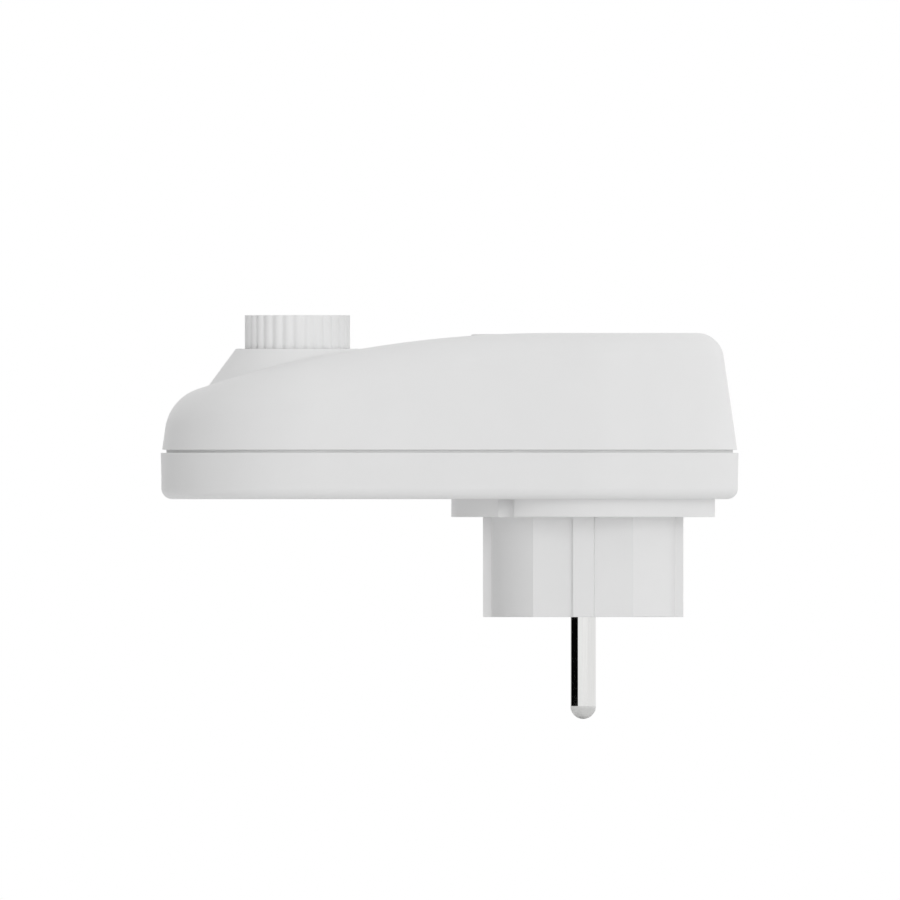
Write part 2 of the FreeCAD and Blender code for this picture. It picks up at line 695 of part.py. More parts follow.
def earth_rivets():
    top = OUTLET_STRIP_Z + EARTH_T / 2
    bottom = PLUG_STRIP_Z - EARTH_T / 2
    rivets = []
    for x in EARTH_RIVETS:
        shank = cyl(RIVET_R, bottom, top, x)
        head = cyl(RIVET_HEAD_R, top, top + RIVET_HEAD_T, x)
        tail = cyl(RIVET_HEAD_R, bottom - RIVET_TAIL_T, bottom, x)
        rivets.append(fuse(shank, head, tail))
    return group(rivets)


# ---------------------------------------------------------------- outlet side
PIVOT_BOTTOM_Z = 28.9
HUB_BOTTOM_Z = 29.2
HUB_R = 3.2
PIVOT_PILOT_R = 0.85
LEDGE_Z = CUP_BOTTOM_Z + CUP_LEDGE_T
RIB_HALF = 1.0
GUIDE_RIBS = [(x, y) for x in (-4.0, 4.0) for y in (-16.8, 16.8)]
TAB_REACH = 1.2
TAB_Z = 48.9
TAB_T = 0.7
TAB_HALF = 2.0
CUP_LEG_R = 1.6
RIB_TOP_Z = CUP_TOP_Z - 0.8
CLIP_SLOT_HALF = 3.2
CLIP_SLOT_Z = (WELL_FLOOR_Z + 0.7, CUP_TOP_Z - 1.8)

def socket_cup():
    """The outlet's round wall: a rim above, guide ribs inside, and a ledge for the base below."""
    cup = cyl(CUP_R, CUP_BOTTOM_Z, CUP_TOP_Z).cut(cyl(WELL_R, LEDGE_Z, CUP_TOP_Z + 1))
    cup = rounded_at(cup, CUP_TOP_Z, RIM_R)
    extras = []
    for angle in CUP_LEG_ANGLES:
        tab = box(CUP_R - 0.5, CUP_R + TAB_REACH, -TAB_HALF, TAB_HALF, TAB_Z, TAB_Z + TAB_T)
        extras.append(turned(tab, angle))
    for x, y in GUIDE_RIBS:
        y0, y1 = sorted((y, math.copysign(WELL_R + 0.1, y)))
        rib = box(x - RIB_HALF, x + RIB_HALF, y0, y1, LEDGE_Z - 0.5, RIB_TOP_Z)
        extras.append(rounded_at(rib, RIB_TOP_Z, EDGE_R))
    tools = [cyl(CUP_LEDGE_R, CUP_BOTTOM_Z - 1, LEDGE_Z + 1)]
    for side in (-1, 1):
        x0, x1 = sorted((side * (WELL_R - 1.0), side * (CUP_R + 1.0)))
        tools.append(box(x0, x1, -CLIP_SLOT_HALF, CLIP_SLOT_HALF, *CLIP_SLOT_Z))
    return cut(fuse(cup, *extras), *tools)


def socket_base():
    """The well's floor: it has the two pin holes, the shutter's pivot and four legs."""
    base = cyl(WELL_R - RUNNING_GAP, LEDGE_Z, WELL_FLOOR_Z)
    extras = [
        cyl(CUP_LEDGE_R - FIT_GAP, CUP_BOTTOM_Z, LEDGE_Z),
        cyl(PIVOT_R, PIVOT_BOTTOM_Z, CUP_BOTTOM_Z),
    ]
    for angle in CUP_LEG_ANGLES:
        x = CUP_LEG_RING_R * math.cos(math.radians(angle))
        y = CUP_LEG_RING_R * math.sin(math.radians(angle))
        extras.append(cyl(CUP_LEG_R, CARRIER_TOP_Z, CUP_BOTTOM_Z, x, y))
    tools = [cyl(PIVOT_PILOT_R, PIVOT_BOTTOM_Z - 1, CUP_BOTTOM_Z + 0.5)]
    for side in (-1, 1):
        tools.append(cyl(OUTLET_HOLE_R, CUP_BOTTOM_Z - 1, WELL_FLOOR_Z + 1, 0, side * PIN_Y))
    for x, y in GUIDE_RIBS:
        y0, y1 = sorted((y - math.copysign(FIT_GAP, y), math.copysign(WELL_R + 1, y)))
        half = RIB_HALF + FIT_GAP
        tools.append(box(x - half, x + half, y0, y1, LEDGE_Z - 0.6, WELL_FLOOR_Z + 1))
    return cut(fuse(base, *extras), *tools)


def shutter():
    """A disc that covers both pin holes until two pins push it round together."""
    disc = cyl(SHUTTER_R, SHUTTER_Z0, SHUTTER_Z1)
    hub = cyl(HUB_R, HUB_BOTTOM_Z, SHUTTER_Z0 + 0.5)
    tools = [cyl(PIVOT_R + RUNNING_GAP, HUB_BOTTOM_Z - 1, SHUTTER_Z1 + 1)]
    width, length, height = SHUTTER_RAMP
    for side in (0, 180):
        hole = cyl(SHUTTER_HOLE_R, SHUTTER_Z0 - 1, SHUTTER_Z1 + 1, PIN_Y, 0)
        tools.append(turned(hole, 90 - SHUTTER_TURN + side))
        ramp = box(PIN_Y - width / 2, PIN_Y + width / 2, 0, length, 0, height)
        ramp = turned(ramp, -SHUTTER_RAMP_TILT, V(0, length, 0), V(1, 0, 0))
        ramp.translate(V(0, -height, SHUTTER_Z1 + 0.25))
        tools.append(turned(ramp, 90 - SHUTTER_TURN + side))
    return cut(fuse(disc, hub), *tools)


def shutter_spring():
    """The coil round the shutter's hub that turns it back."""
    wire_r, coil_r, pitch, height, foot_z = 0.2, 3.75, 0.45, 1.0, 29.5
    helix = Part.makeHelix(pitch, height, coil_r)
    profile = Part.makeCircle(wire_r, V(coil_r, 0, 0), V(0, 1, 0))
    coil = Part.Wire(helix).makePipeShell([Part.Wire(profile)], True, True)
    coil.translate(V(0, 0, foot_z))
    return coil


def shutter_screw():
    """The pivot's screw with its washer, which keeps the shutter on."""
    washer_r, washer_t = 3.6, 0.5
    head_r, head_h, shank_r, length = 1.9, 0.7, 0.8, 4.0
    washer_z = PIVOT_BOTTOM_Z - washer_t
    washer = cyl(washer_r, washer_z, PIVOT_BOTTOM_Z)
    return fuse(washer, screw_up(0, 0, washer_z, head_r, head_h, shank_r, length))


# ---------------------------------------------------------------- main board
BOARD_PINS = []
PIN_LEG_R = 0.35
LEG_DROP = 1.0
BOARD_END_X = -20.0
BOARD_BAY_R = 24.5
BOARD_SCREW_CLEAR_R = 1.2


def legs(points, top_z):
    """Soldered legs through the main board, which is drilled for each of them."""
    BOARD_PINS.extend(points)
    return [cyl(PIN_LEG_R, BOARD_Z - LEG_DROP, top_z, x, y) for x, y in points]


def main_board():
    """The board fills the housing's nose, up to a round bay for the outlet."""
    half = BOARD_R - 0.2
    outline = cyl(BOARD_R, BOARD_Z, BOARD_TOP, LEFT_X)
    outline = fuse(outline, box(LEFT_X, BOARD_END_X, -half, half, BOARD_Z, BOARD_TOP))
    drills = [(BOARD_BAY_R, 0, 0)]
    drills += [(BOSS_R + 0.5, NOSE_SCREW[0], side * NOSE_SCREW[1]) for side in (-1, 1)]
    drills += [(BOARD_SCREW_CLEAR_R, x, y) for x, y in BOARD_SCREWS]
    drills += [(PIN_LEG_R + FIT_GAP, x, y) for x, y in BOARD_PINS]
    return cut(outline, *[cyl(r, BOARD_Z - 1, BOARD_TOP + 1, x, y) for r, x, y in drills])


def board_screws():
    head_r, head_h, shank_r, length = 1.9, 1.4, 1.0, 4.5
    screws = []
    for x, y in BOARD_SCREWS:
        screws.append(screw_down(x, y, BOARD_TOP, head_r, head_h, shank_r, length))
    return group(screws)


def lying_cylinder(r, length, x, y, z):
    return Part.makeCylinder(r, length, V(x, y, z), V(1, 0, 0))


def dropper_capacitor():
    x0, x1, y0, y1, corner_r, top_z = -47.5, -29.5, 11.0, 18.6, 0.8, 40.0
    leg_inset, y = 1.5, 14.8
    body = rounded_plate(x0, x1, y0, y1, corner_r, BOARD_TOP + 0.4, top_z)
    return fuse(body, *legs([(x0 + leg_inset, y), (x1 - leg_inset, y)], BOARD_TOP + 1))


def filter_capacitor():
    x, y, can_r, top_z, leg_x = -57.0, -15.5, 4.0, 41.0, 1.25
    bead_z, bead_depth = BOARD_TOP + 1.5, 0.25
    can = rounded_at(cyl(can_r, BOARD_TOP + 0.3, top_z, x, y), top_z, 0.5)
    bead = ring(can_r + 1, can_r - bead_depth, bead_z, bead_z + 2 * bead_depth, x, y)
    return cut(fuse(can, *legs([(x - leg_x, y), (x + leg_x, y)], BOARD_TOP + 1)), bead)


def varistor():
    x, y, z, disc_r, disc_t = -31.0, -17.5, 35.0, 4.5, 3.5
    leg_x, leg_y = 0.7, 2.5
    disc = lying_cylinder(disc_r, disc_t, x - disc_t / 2, y, z)
    disc = disc.makeFillet(1.0, [e for e in disc.Edges if e.Length > disc_r * math.pi])
    return fuse(disc, *legs([(x - leg_x, y - leg_y), (x + leg_x, y + leg_y)], z))


def fuse_link():
    y, z, glass_r, cap_r, cap_length = -15.5, BOARD_TOP + 3.2, 2.3, 2.6, 3.0
    cap_places = (-48.5, -38.5)
    glass = lying_cylinder(glass_r, 12.0, -48.0, y, z)
    caps = [lying_cylinder(cap_r, cap_length, x, y, z) for x in cap_places]
    places = [(x + cap_length / 2, y) for x in cap_places]
    return fuse(glass, *caps, *legs(places, z))


def shunt_resistor():
    """A bridge of resistance strip between the two live terminals."""
    x, y, half, top_z = -33.5, -9.4, 2.2, 35.0
    run = [(-half, BOARD_TOP), (-half, top_z), (half, top_z), (half, BOARD_TOP)]
    bridge = turned(strip(run, 0.9, 0.7, 1.5), 90)
    bridge.translate(V(x, y, 0))
    return bridge


CELL_XY = (-55.5, 16.5)
CELL_R = 5.8
CELL_FOOT_Z = 31.0
CELL_TOP_Z = 34.6


def backup_cell():
    cell = cyl(CELL_R, CELL_FOOT_Z, CELL_TOP_Z, *CELL_XY)
    return cell.makeFillet(0.4, [e for e in cell.Edges if e.Length > CELL_R * math.pi])


def cell_holder():
    x, y = CELL_XY
    wall_t, leg_x = 1.0, 4.0
    inner_r = CELL_R + FIT_GAP
    tray = ring(inner_r + wall_t, inner_r, BOARD_TOP, CELL_TOP_Z - wall_t, x, y)
    floor = cyl(inner_r + wall_t / 2, BOARD_TOP, CELL_FOOT_Z - FIT_GAP, x, y)
    return fuse(tray, floor, *legs([(x - leg_x, y), (x + leg_x, y)], BOARD_TOP + 1))


def rectifier():
    x, size_x, size_y, corner_r, top_z = -66.1, 4.8, 8.0, 0.4, 33.0
    x0, x1, half_y = x - size_x / 2, x + size_x / 2, size_y / 2
    body = rounded_plate(x0, x1, -half_y, half_y, corner_r, BOARD_TOP + 0.3, top_z)
    places = [(x + side * 1.4, y) for side in (-1, 1) for y in (-2.5, 2.5)]
    return fuse(body, *legs(places, BOARD_TOP + 1))


def chip(x, y, size_x, size_y, height, count, pitch, on_ends):
    """A surface-mounted chip whose feet come out of its two long sides, or of all four."""
    lift, foot_t, foot_w, foot_reach = 0.2, 0.35, 0.3, 1.0
    body = centred_box(x, y, size_x, size_y, BOARD_TOP + lift, BOARD_TOP + lift + height)
    feet = []
    across, along = size_x + 2 * foot_reach, size_y + 2 * foot_reach
    foot_z = BOARD_TOP + foot_t
    for number in range(count):
        step = (number - (count - 1) / 2) * pitch
        feet.append(centred_box(x, y + step, across, foot_w, BOARD_TOP, foot_z))
        if on_ends:
            feet.append(centred_box(x + step, y, foot_w, along, BOARD_TOP, foot_z))
    return fuse(body, *feet)


def metering_chip():
    x, y, size_x, size_y, height, feet_a_side, pitch = -36.0, -1.6, 4.0, 7.6, 1.5, 8, 0.9
    return chip(x, y, size_x, size_y, height, feet_a_side, pitch, on_ends=False)


def controller_chip():
    x, y, size_x, size_y, height, feet_a_side, pitch = -32.2, 7.0, 6.0, 5.6, 1.2, 8, 0.65
    return chip(x, y, size_x, size_y, height, feet_a_side, pitch, on_ends=True)


def crystal():
    x, half_x, y0, y1, corner_r, top_z = -29.4, 1.6, -4.6, 2.6, 1.5, 33.0
    can = rounded_plate(x - half_x, x + half_x, y0, y1, corner_r, BOARD_TOP + FIT_GAP, top_z)
    return fuse(can, *legs([(x, y0 + half_x), (x, y1 - half_x)], BOARD_TOP + 1))


TERMINALS = [(-27.3, -7.5), (-27.3, -11.5), (-27.3, 11.5)]
TERMINAL_SIZE = (2.2, 3.2)
TERMINAL_H = 3.0


def board_terminals():
    blocks = []
    for x, y in TERMINALS:
        block = centred_box(x, y, *TERMINAL_SIZE, BOARD_TOP, BOARD_TOP + TERMINAL_H)
        blocks.append(fuse(block, *legs([(x, y)], BOARD_TOP + 1)))
    return group(blocks)


# ---------------------------------------------------------------- leads
LEAD_R = 1.05
LEAD_Z = CARRIER_TOP_Z + BARREL_HALF
LEAD_BEND_R = 2.2
OUTLET_LEAD_BEND_R = 3.0
TERMINAL_X = TERMINALS[0][0] + TERMINAL_SIZE[0] / 2
OVER_BOARD_Z = BOARD_TOP + 1.4


def line_in_lead():
    """From the line pin's tail up through the carrier to the board."""
    x, y = LEAD_HOLE
    tail_z = PIN_TOP_Z - 0.85
    points = [
        (-PIN_TAIL_R, -PIN_Y, tail_z),
        (-9.5, -PIN_Y, tail_z),
        (x, y, 16.0),
        (x, y, 28.4),
        (-20.0, TERMINALS[0][1], OVER_BOARD_Z),
        (TERMINAL_X, TERMINALS[0][1], OVER_BOARD_Z),
    ]
    return lead(points, LEAD_BEND_R, LEAD_R)


def outlet_lead(side):
    """From an outlet contact's crimp barrel to the board."""
    points = [
        (BARREL_X[0], side * PIN_Y, LEAD_Z),
        (-14.0, side * PIN_Y, LEAD_Z),
        (-20.0, side * TERMINALS[2][1], OVER_BOARD_Z),
        (TERMINAL_X, side * TERMINALS[2][1], OVER_BOARD_Z),
    ]
    return lead(points, OUTLET_LEAD_BEND_R, LEAD_R)


# ---------------------------------------------------------------- display
CELL = (7.4, 18.0)
CELL_Z = (-4.2, -2.5)
HOLDER = (8.4, 19.0)
HOLDER_HOLLOW = (7.3, 15.5)
HOLDER_Z = (DISPLAY_BOARD_Z, -2.5)
ZEBRA_X = (5.9, 7.1)
ZEBRA_HALF = 15.2
DISPLAY_BOARD_X = (-9.5, 7.6)
DISPLAY_BOARD_HALF = 23.0
GASKET_W = 1.0
LENS_EDGE_R = 0.15


def display_lens():
    lens = rounded_plate(-LENS[0], LENS[0], -LENS[1], LENS[1], LENS_R, *LENS_Z)
    return on_display(rounded_at(lens, LENS_Z[1], LENS_EDGE_R))


def lens_gasket():
    outer = rounded_plate(-LENS[0], LENS[0], -LENS[1], LENS[1], LENS_R, LENS_SEAT_Z, LENS_Z[0])
    inner_x, inner_y = LENS[0] - GASKET_W, LENS[1] - GASKET_W
    inner = box(-inner_x, inner_x, -inner_y, inner_y, LENS_SEAT_Z - 1, 0)
    return on_display(cut(outer, inner))


def lcd_cell():
    glass = box(-CELL[0], CELL[0], -CELL[1], CELL[1], *CELL_Z)
    return on_display(glass)


def lcd_holder():
    height = HOLDER_Z[1] - HOLDER_Z[0]
    frame = centred_box(0, 0, 2 * HOLDER[0], 2 * HOLDER[1], *HOLDER_Z)
    nest_x, nest_y = 2 * (CELL[0] + FIT_GAP), 2 * (CELL[1] + FIT_GAP)
    nest = centred_box(0, 0, nest_x, nest_y, CELL_Z[0], CELL_Z[0] + height)
    hollow_x, hollow_y = 2 * HOLDER_HOLLOW[0], 2 * HOLDER_HOLLOW[1]
    hollow = centred_box(0, 0, hollow_x, hollow_y, HOLDER_Z[0] - 1, HOLDER_Z[1] + 1)
    return on_display(cut(frame, nest, hollow))


def zebra_strips():
    strips = []
    for side in (-1, 1):
        x0, x1 = sorted((side * ZEBRA_X[0], side * ZEBRA_X[1]))
        zebra = box(x0, x1, -ZEBRA_HALF, ZEBRA_HALF, DISPLAY_BOARD_Z, CELL_Z[0])
        strips.append(on_display(zebra))
    return group(strips)


def display_board():
    bottom = DISPLAY_BOARD_Z - DISPLAY_BOARD_T
    half = DISPLAY_BOARD_HALF
    board = box(*DISPLAY_BOARD_X, -half, half, bottom, DISPLAY_BOARD_Z)
    hole_r = DISPLAY_PILOT_R + 0.15
    holes = [cyl(hole_r, bottom - 1, DISPLAY_BOARD_Z + 1, x, y) for x, y in DISPLAY_POSTS]
    return on_display(cut(board, *holes))


def display_screws():
    seat = DISPLAY_BOARD_Z - DISPLAY_BOARD_T
    head_r, head_h, shank_r, length = 1.6, 1.0, 0.8, 3.6
    screws = [screw_up(x, y, seat, head_r, head_h, shank_r, length) for x, y in DISPLAY_POSTS]
    return group(on_display(screw) for screw in screws)


RIBBON_X = -41.75
RIBBON_T = 0.25
RIBBON_HALF = 5.0
RIBBON_BEND_R = 2.4
CONNECTOR_HALF_Y = 6.0
CONNECTOR_X = 2.5
CONNECTOR_H = 1.9
UPPER_CONNECTOR = (-7.0, -4.0)
UPPER_CONNECTOR_H = 1.4


def display_connector():
    bottom = DISPLAY_BOARD_Z - DISPLAY_BOARD_T
    x0, x1 = UPPER_CONNECTOR
    foot = bottom - UPPER_CONNECTOR_H
    return on_display(box(x0, x1, -CONNECTOR_HALF_Y, CONNECTOR_HALF_Y, foot, bottom))


def board_connector():
    top = BOARD_TOP + CONNECTOR_H
    return centred_box(RIBBON_X, 0, CONNECTOR_X, 2 * CONNECTOR_HALF_Y, BOARD_TOP, top)


def display_ribbon():
    middle_z = DISPLAY_BOARD_Z - DISPLAY_BOARD_T - UPPER_CONNECTOR_H / 2
    start = on_display(Part.Vertex(UPPER_CONNECTOR[0], 0, middle_z)).Point
    run = [(start.x, start.z), (RIBBON_X, start.z - 0.5), (RIBBON_X, BOARD_TOP + CONNECTOR_H)]
    return strip(run, RIBBON_BEND_R, RIBBON_T, RIBBON_HALF)


# ---------------------------------------------------------------- rotary selector
BASE_TOP_Z = 31.2
COVER_R = 8.5
COVER_TOP_Z = 37.0
BUSHING_TOP_Z = 41.5
SHAFT_R = 3.0
SHAFT_TOP_Z = 54.6
HUB_Z = 46.8
FLAT_X = 2.2
TERMINAL_RING_R = 6.6
POSITIONS = 12
PIVOT_SHAFT_R = 1.5
CAN_WALL = 1.0
CAN_ROOF_T = 1.2
BUSHING_R = 4.4
CIRCLIP_R = 4.3
CIRCLIP_T = 0.6
CIRCLIP_MOUTH = 2.4
GROOVE_Z = (BUSHING_TOP_Z + 0.3, BUSHING_TOP_Z + 1.0)
GROOVE_DEPTH = 0.5
FLAT_FOOT_Z = 47.5
ROTOR_R = 6.9
ROTOR_Z = (32.7, 34.6)
WIPER_T = 0.3
WIPER_RING = (5.6, 3.6)
FINGER_X = (5.0, 6.4, 7.0)
FINGER_HALF = 0.5
KNOB_EDGE_R = 0.15
KNOB_HOLLOW_R = 8.2
KNOB_TOP_T = 1.7
KNOB_HUB_R = 4.4
POINTER_HALF = 0.4
POINTER_DEPTH = 0.4
POINTER_R = (3.5, 8.9)
KNOB_CLIP_R = 4.9


def ring_places(radius, count):
    turns = [2 * math.pi * number / count for number in range(count)]
    return [(KNOB_X + radius * math.cos(t), radius * math.sin(t)) for t in turns]


def selector_base():
    disc = cyl(COVER_R, BOARD_TOP, BASE_TOP_Z, KNOB_X)
    holes = [cyl(PIVOT_SHAFT_R + RUNNING_GAP, BOARD_TOP + 0.5, BASE_TOP_Z + 1, KNOB_X)]
    for x, y in ring_places(TERMINAL_RING_R, POSITIONS):
        holes.append(cyl(PIN_LEG_R + RUNNING_GAP, BOARD_TOP - 1, BASE_TOP_Z + 1, x, y))
    return cut(disc, *holes)


def selector_terminals():
    return group(legs(ring_places(TERMINAL_RING_R, POSITIONS), BASE_TOP_Z))


def selector_cover():
    can = cyl(COVER_R, BASE_TOP_Z, COVER_TOP_Z, KNOB_X)
    bushing = cyl(BUSHING_R, COVER_TOP_Z - 1, BUSHING_TOP_Z, KNOB_X)
    hollow = cyl(COVER_R - CAN_WALL, BASE_TOP_Z - 1, COVER_TOP_Z - CAN_ROOF_T, KNOB_X)
    bore = cyl(SHAFT_R + RUNNING_GAP, BASE_TOP_Z, BUSHING_TOP_Z + 1, KNOB_X)
    return cut(fuse(can, bushing), hollow, bore)


def shaft_flat(z0, z1):
    """The part of the shaft's bore or end that its flat takes away."""
    return box(KNOB_X + FLAT_X, KNOB_X + 2 * SHAFT_R, -SHAFT_R - 1, SHAFT_R + 1, z0, z1)


def selector_shaft():
    shaft = cyl(SHAFT_R, BASE_TOP_Z + 0.3, SHAFT_TOP_Z, KNOB_X)
    pivot = cyl(PIVOT_SHAFT_R, BOARD_TOP + 0.8, BASE_TOP_Z + 1, KNOB_X)
    flat = shaft_flat(FLAT_FOOT_Z, SHAFT_TOP_Z + 1)
    groove = ring(SHAFT_R + 1, SHAFT_R - GROOVE_DEPTH, *GROOVE_Z, KNOB_X)
    return cut(fuse(shaft, pivot), flat, groove)


def selector_circlip():
    foot_z = GROOVE_Z[0] + RUNNING_GAP
    clip = ring(CIRCLIP_R, SHAFT_R - GROOVE_DEPTH, foot_z, foot_z + CIRCLIP_T, KNOB_X)
    half = CIRCLIP_MOUTH / 2
    mouth = box(KNOB_X, KNOB_X + 2 * SHAFT_R, -half, half, foot_z - 1, foot_z + 1)
    return cut(clip, mouth)


def selector_rotor():
    return ring(ROTOR_R, SHAFT_R, *ROTOR_Z, KNOB_X)


def selector_wiper():
    """A sprung ring under the rotor, with three fingers down to the terminals."""
    top_z = ROTOR_Z[0]
    foot_z = top_z - WIPER_T
    plate = ring(*WIPER_RING, foot_z, top_z, KNOB_X)
    root_x, tip_x, end_x = FINGER_X
    fingers = []
    for angle in (0, 120, 240):
        finger = box(root_x, end_x, -FINGER_HALF, FINGER_HALF, foot_z, top_z)
        tip = box(tip_x, end_x, -FINGER_HALF, FINGER_HALF, BASE_TOP_Z + 0.3, top_z - 0.1)
        arm = turned(fuse(finger, tip), angle)
        arm.translate(V(KNOB_X, 0, 0))
        fingers.append(arm)
    return fuse(plate, *fingers)


def knob_outline(z):
    """The knob's plan outline: round ribs and narrower grooves, each running into the next."""
    half_pitch = math.pi / KNOB_RIBS
    rib_ring = KNOB_R - KNOB_RIB_R
    apart = KNOB_RIB_R + KNOB_GROOVE_R
    reach = math.sqrt(apart**2 - (rib_ring * math.sin(half_pitch)) ** 2)
    groove_ring = rib_ring * math.cos(half_pitch) + reach
    share = KNOB_RIB_R / apart

    def at(r, turn):
        return V(KNOB_X + r * math.cos(turn), r * math.sin(turn), z)

    edges = []
    for number in range(KNOB_RIBS):
        turn = math.radians(KNOB_RIB_START) + 2 * half_pitch * number
        rib, next_rib = at(rib_ring, turn), at(rib_ring, turn + 2 * half_pitch)
        last_groove = at(groove_ring, turn - half_pitch)
        groove = at(groove_ring, turn + half_pitch)
        enter = rib + (last_groove - rib) * share
        leave = rib + (groove - rib) * share
        after = next_rib + (groove - next_rib) * share
        deepest = at(groove_ring - KNOB_GROOVE_R, turn + half_pitch)
        edges.append(Part.Arc(enter, at(KNOB_R, turn), leave).toShape())
        edges.append(Part.Arc(leave, deepest, after).toShape())
    return Part.Wire(edges)


def knob():
    cap = Part.Face(knob_outline(KNOB_FOOT_Z)).extrude(V(0, 0, KNOB_TOP_Z - KNOB_FOOT_Z))
    cap = rounded_at(cap, KNOB_TOP_Z, KNOB_EDGE_R)
    hollow = cyl(KNOB_HOLLOW_R, KNOB_FOOT_Z - 1, KNOB_TOP_Z - KNOB_TOP_T, KNOB_X)
    hub = cyl(KNOB_HUB_R, HUB_Z, KNOB_TOP_Z - KNOB_TOP_T / 2, KNOB_X)
    bore_top = SHAFT_TOP_Z + 0.2
    bore = cyl(SHAFT_R, HUB_Z - 1, bore_top, KNOB_X)
    keyed_bore = cut(bore, shaft_flat(HUB_Z + 1.5, bore_top))
    groove_z = KNOB_TOP_Z - POINTER_DEPTH
    x0, x1 = KNOB_X - POINTER_HALF, KNOB_X + POINTER_HALF
    pointer = box(x0, x1, -POINTER_R[1], -POINTER_R[0], groove_z, KNOB_TOP_Z + 1)
    return cut(fuse(cut(cap, hollow), hub), keyed_bore, pointer)


def knob_clip():
    """The spring ring that grips the knob's hub on the shaft."""
    return ring(KNOB_CLIP_R, KNOB_HUB_R, HUB_Z + 0.4, HUB_Z + 1.6, KNOB_X)


# ---------------------------------------------------------------- fasteners
def housing_screws():
    head_r, head_h, shank_r, length = 2.1, 1.8, 1.2, 12.0
    screws = []
    for x, y in HOUSING_SCREWS:
        screws.append(screw_up(x, y, HOUSING_SEAT_Z, head_r, head_h, shank_r, length))
    return group(screws)


os.makedirs("parts", exist_ok=True)
DOC = FreeCAD.newDocument("meter")

PIECES = {
    "lower_shell": lower_shell,
    "upper_shell": upper_shell,
    "rating_label": rating_label,
    "housing_screws": housing_screws,
    "plug_insert": plug_insert,
    "line_pin": lambda: pin(-1),
    "neutral_pin": lambda: pin(1),
    "line_contact": lambda: tulip_contact(-1, False),
    "neutral_contact": lambda: tulip_contact(1, True),
    "contact_carrier": contact_carrier,
    "carrier_screws": carrier_screws,
    "earth_plug_strip": earth_plug_strip,
    "earth_outlet_strip": earth_outlet_strip,
    "earth_rivets": earth_rivets,
    "socket_cup": socket_cup,
    "socket_base": socket_base,
    "shutter": shutter,
    "shutter_spring": shutter_spring,
    "shutter_screw": shutter_screw,
    "dropper_capacitor": dropper_capacitor,
    "filter_capacitor": filter_capacitor,
    "varistor": varistor,
    "fuse_link": fuse_link,
    "shunt_resistor": shunt_resistor,
    "backup_cell": backup_cell,
    "cell_holder": cell_holder,
    "rectifier": rectifier,
    "metering_chip": metering_chip,
    "controller_chip": controller_chip,
    "crystal": crystal,
    "board_terminals": board_terminals,
    "board_connector": board_connector,
    "selector_terminals": selector_terminals,
    "main_board": main_board,
    "board_screws": board_screws,
    "line_in_lead": line_in_lead,
    "line_out_lead": lambda: outlet_lead(-1),
    "neutral_lead": lambda: outlet_lead(1),
    "display_lens": display_lens,
    "lens_gasket": lens_gasket,
    "lcd_cell": lcd_cell,
    "lcd_holder": lcd_holder,
    "zebra_strips": zebra_strips,
    "display_board": display_board,
    "display_screws": display_screws,
    "display_connector": display_connector,
    "display_ribbon": display_ribbon,
    "selector_base": selector_base,
    "selector_cover": selector_cover,
    "selector_shaft": selector_shaft,
    "selector_circlip": selector_circlip,
    "selector_rotor": selector_rotor,
    "selector_wiper": selector_wiper,
    "knob": knob,
    "knob_clip": knob_clip,
}

for piece_name, make_piece in PIECES.items():
    save(piece_name, make_piece())
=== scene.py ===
import json
import math

import bmesh
import bpy
from mathutils import Matrix, Vector
from mathutils.bvhtree import BVHTree


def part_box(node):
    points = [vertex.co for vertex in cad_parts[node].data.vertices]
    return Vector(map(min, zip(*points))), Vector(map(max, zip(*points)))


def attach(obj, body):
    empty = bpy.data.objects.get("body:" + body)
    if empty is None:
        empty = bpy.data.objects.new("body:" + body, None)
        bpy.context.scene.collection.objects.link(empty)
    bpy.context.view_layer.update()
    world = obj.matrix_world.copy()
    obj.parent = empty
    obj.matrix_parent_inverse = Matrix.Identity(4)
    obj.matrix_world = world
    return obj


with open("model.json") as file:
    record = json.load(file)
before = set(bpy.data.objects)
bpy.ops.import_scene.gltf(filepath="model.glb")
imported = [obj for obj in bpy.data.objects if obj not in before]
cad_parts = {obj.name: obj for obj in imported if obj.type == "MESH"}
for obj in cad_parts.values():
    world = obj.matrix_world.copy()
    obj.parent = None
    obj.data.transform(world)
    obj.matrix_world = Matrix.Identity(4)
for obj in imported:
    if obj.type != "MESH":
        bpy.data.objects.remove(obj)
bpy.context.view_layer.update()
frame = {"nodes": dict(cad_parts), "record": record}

# The looks of a plug-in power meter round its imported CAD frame: camera, light, floor, the finish of
# every material slot, and the small printed and inlaid details. All lengths are in metres, all
# azimuths in degrees: 0 is the front, 90 the object's right.

MM = 0.001
NODES = frame["nodes"]

# ---------------------------------------------------------------- places worked out from the frame
KNOB_LOW, KNOB_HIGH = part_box("knob")
KNOB_CENTRE = (KNOB_LOW + KNOB_HIGH) / 2
LABEL_LOW, LABEL_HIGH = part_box("rating_label")
FLOOR_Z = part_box("line_pin")[0].z


# ---------------------------------------------------------------- camera, light and floor
SKY_LEVEL = 0.652
SKY_OVERHEAD = 0.78
KEY = 0.71
KEY_AZIMUTH = 23.0
FILL = 0.47
FILL_AZIMUTH = 136.0
LIGHT_ELEVATION = 6.0
LIGHT_SPREAD = 40.0
VIEW_WIDTH = 167.9 * MM
VIEW_CENTRE = Vector((-24.84, -600.0, 31.17)) * MM
VIEW_CLIP = (0.01, 10.0)
CARD_STEPS = 24
CARD_BLACK = 0.002
PIN_CARD = (-47.0, -138.0)
PIN_CARD_R = 0.5
PIN_CARD_Z = (-0.07, 0.11)
DARK_SIDE = (-75.0, -150.0)
DARK_SIDE_R = 5.0
DARK_SIDE_Z = (-0.1, 2.4)
GREY_CARD = (39.6, 150.0)
GREY_LEVEL = 0.93
FLOOR_R = 6.0
FLOOR_SIDES = 96
# painted glow of the floor paper, seen only in reflections
FLOOR_PAINTED_REFLECTION_GLOW = 0.1
UNDERLAY_DEPTH = 51 * MM


def link(item):
    bpy.context.scene.collection.objects.link(item)
    return item


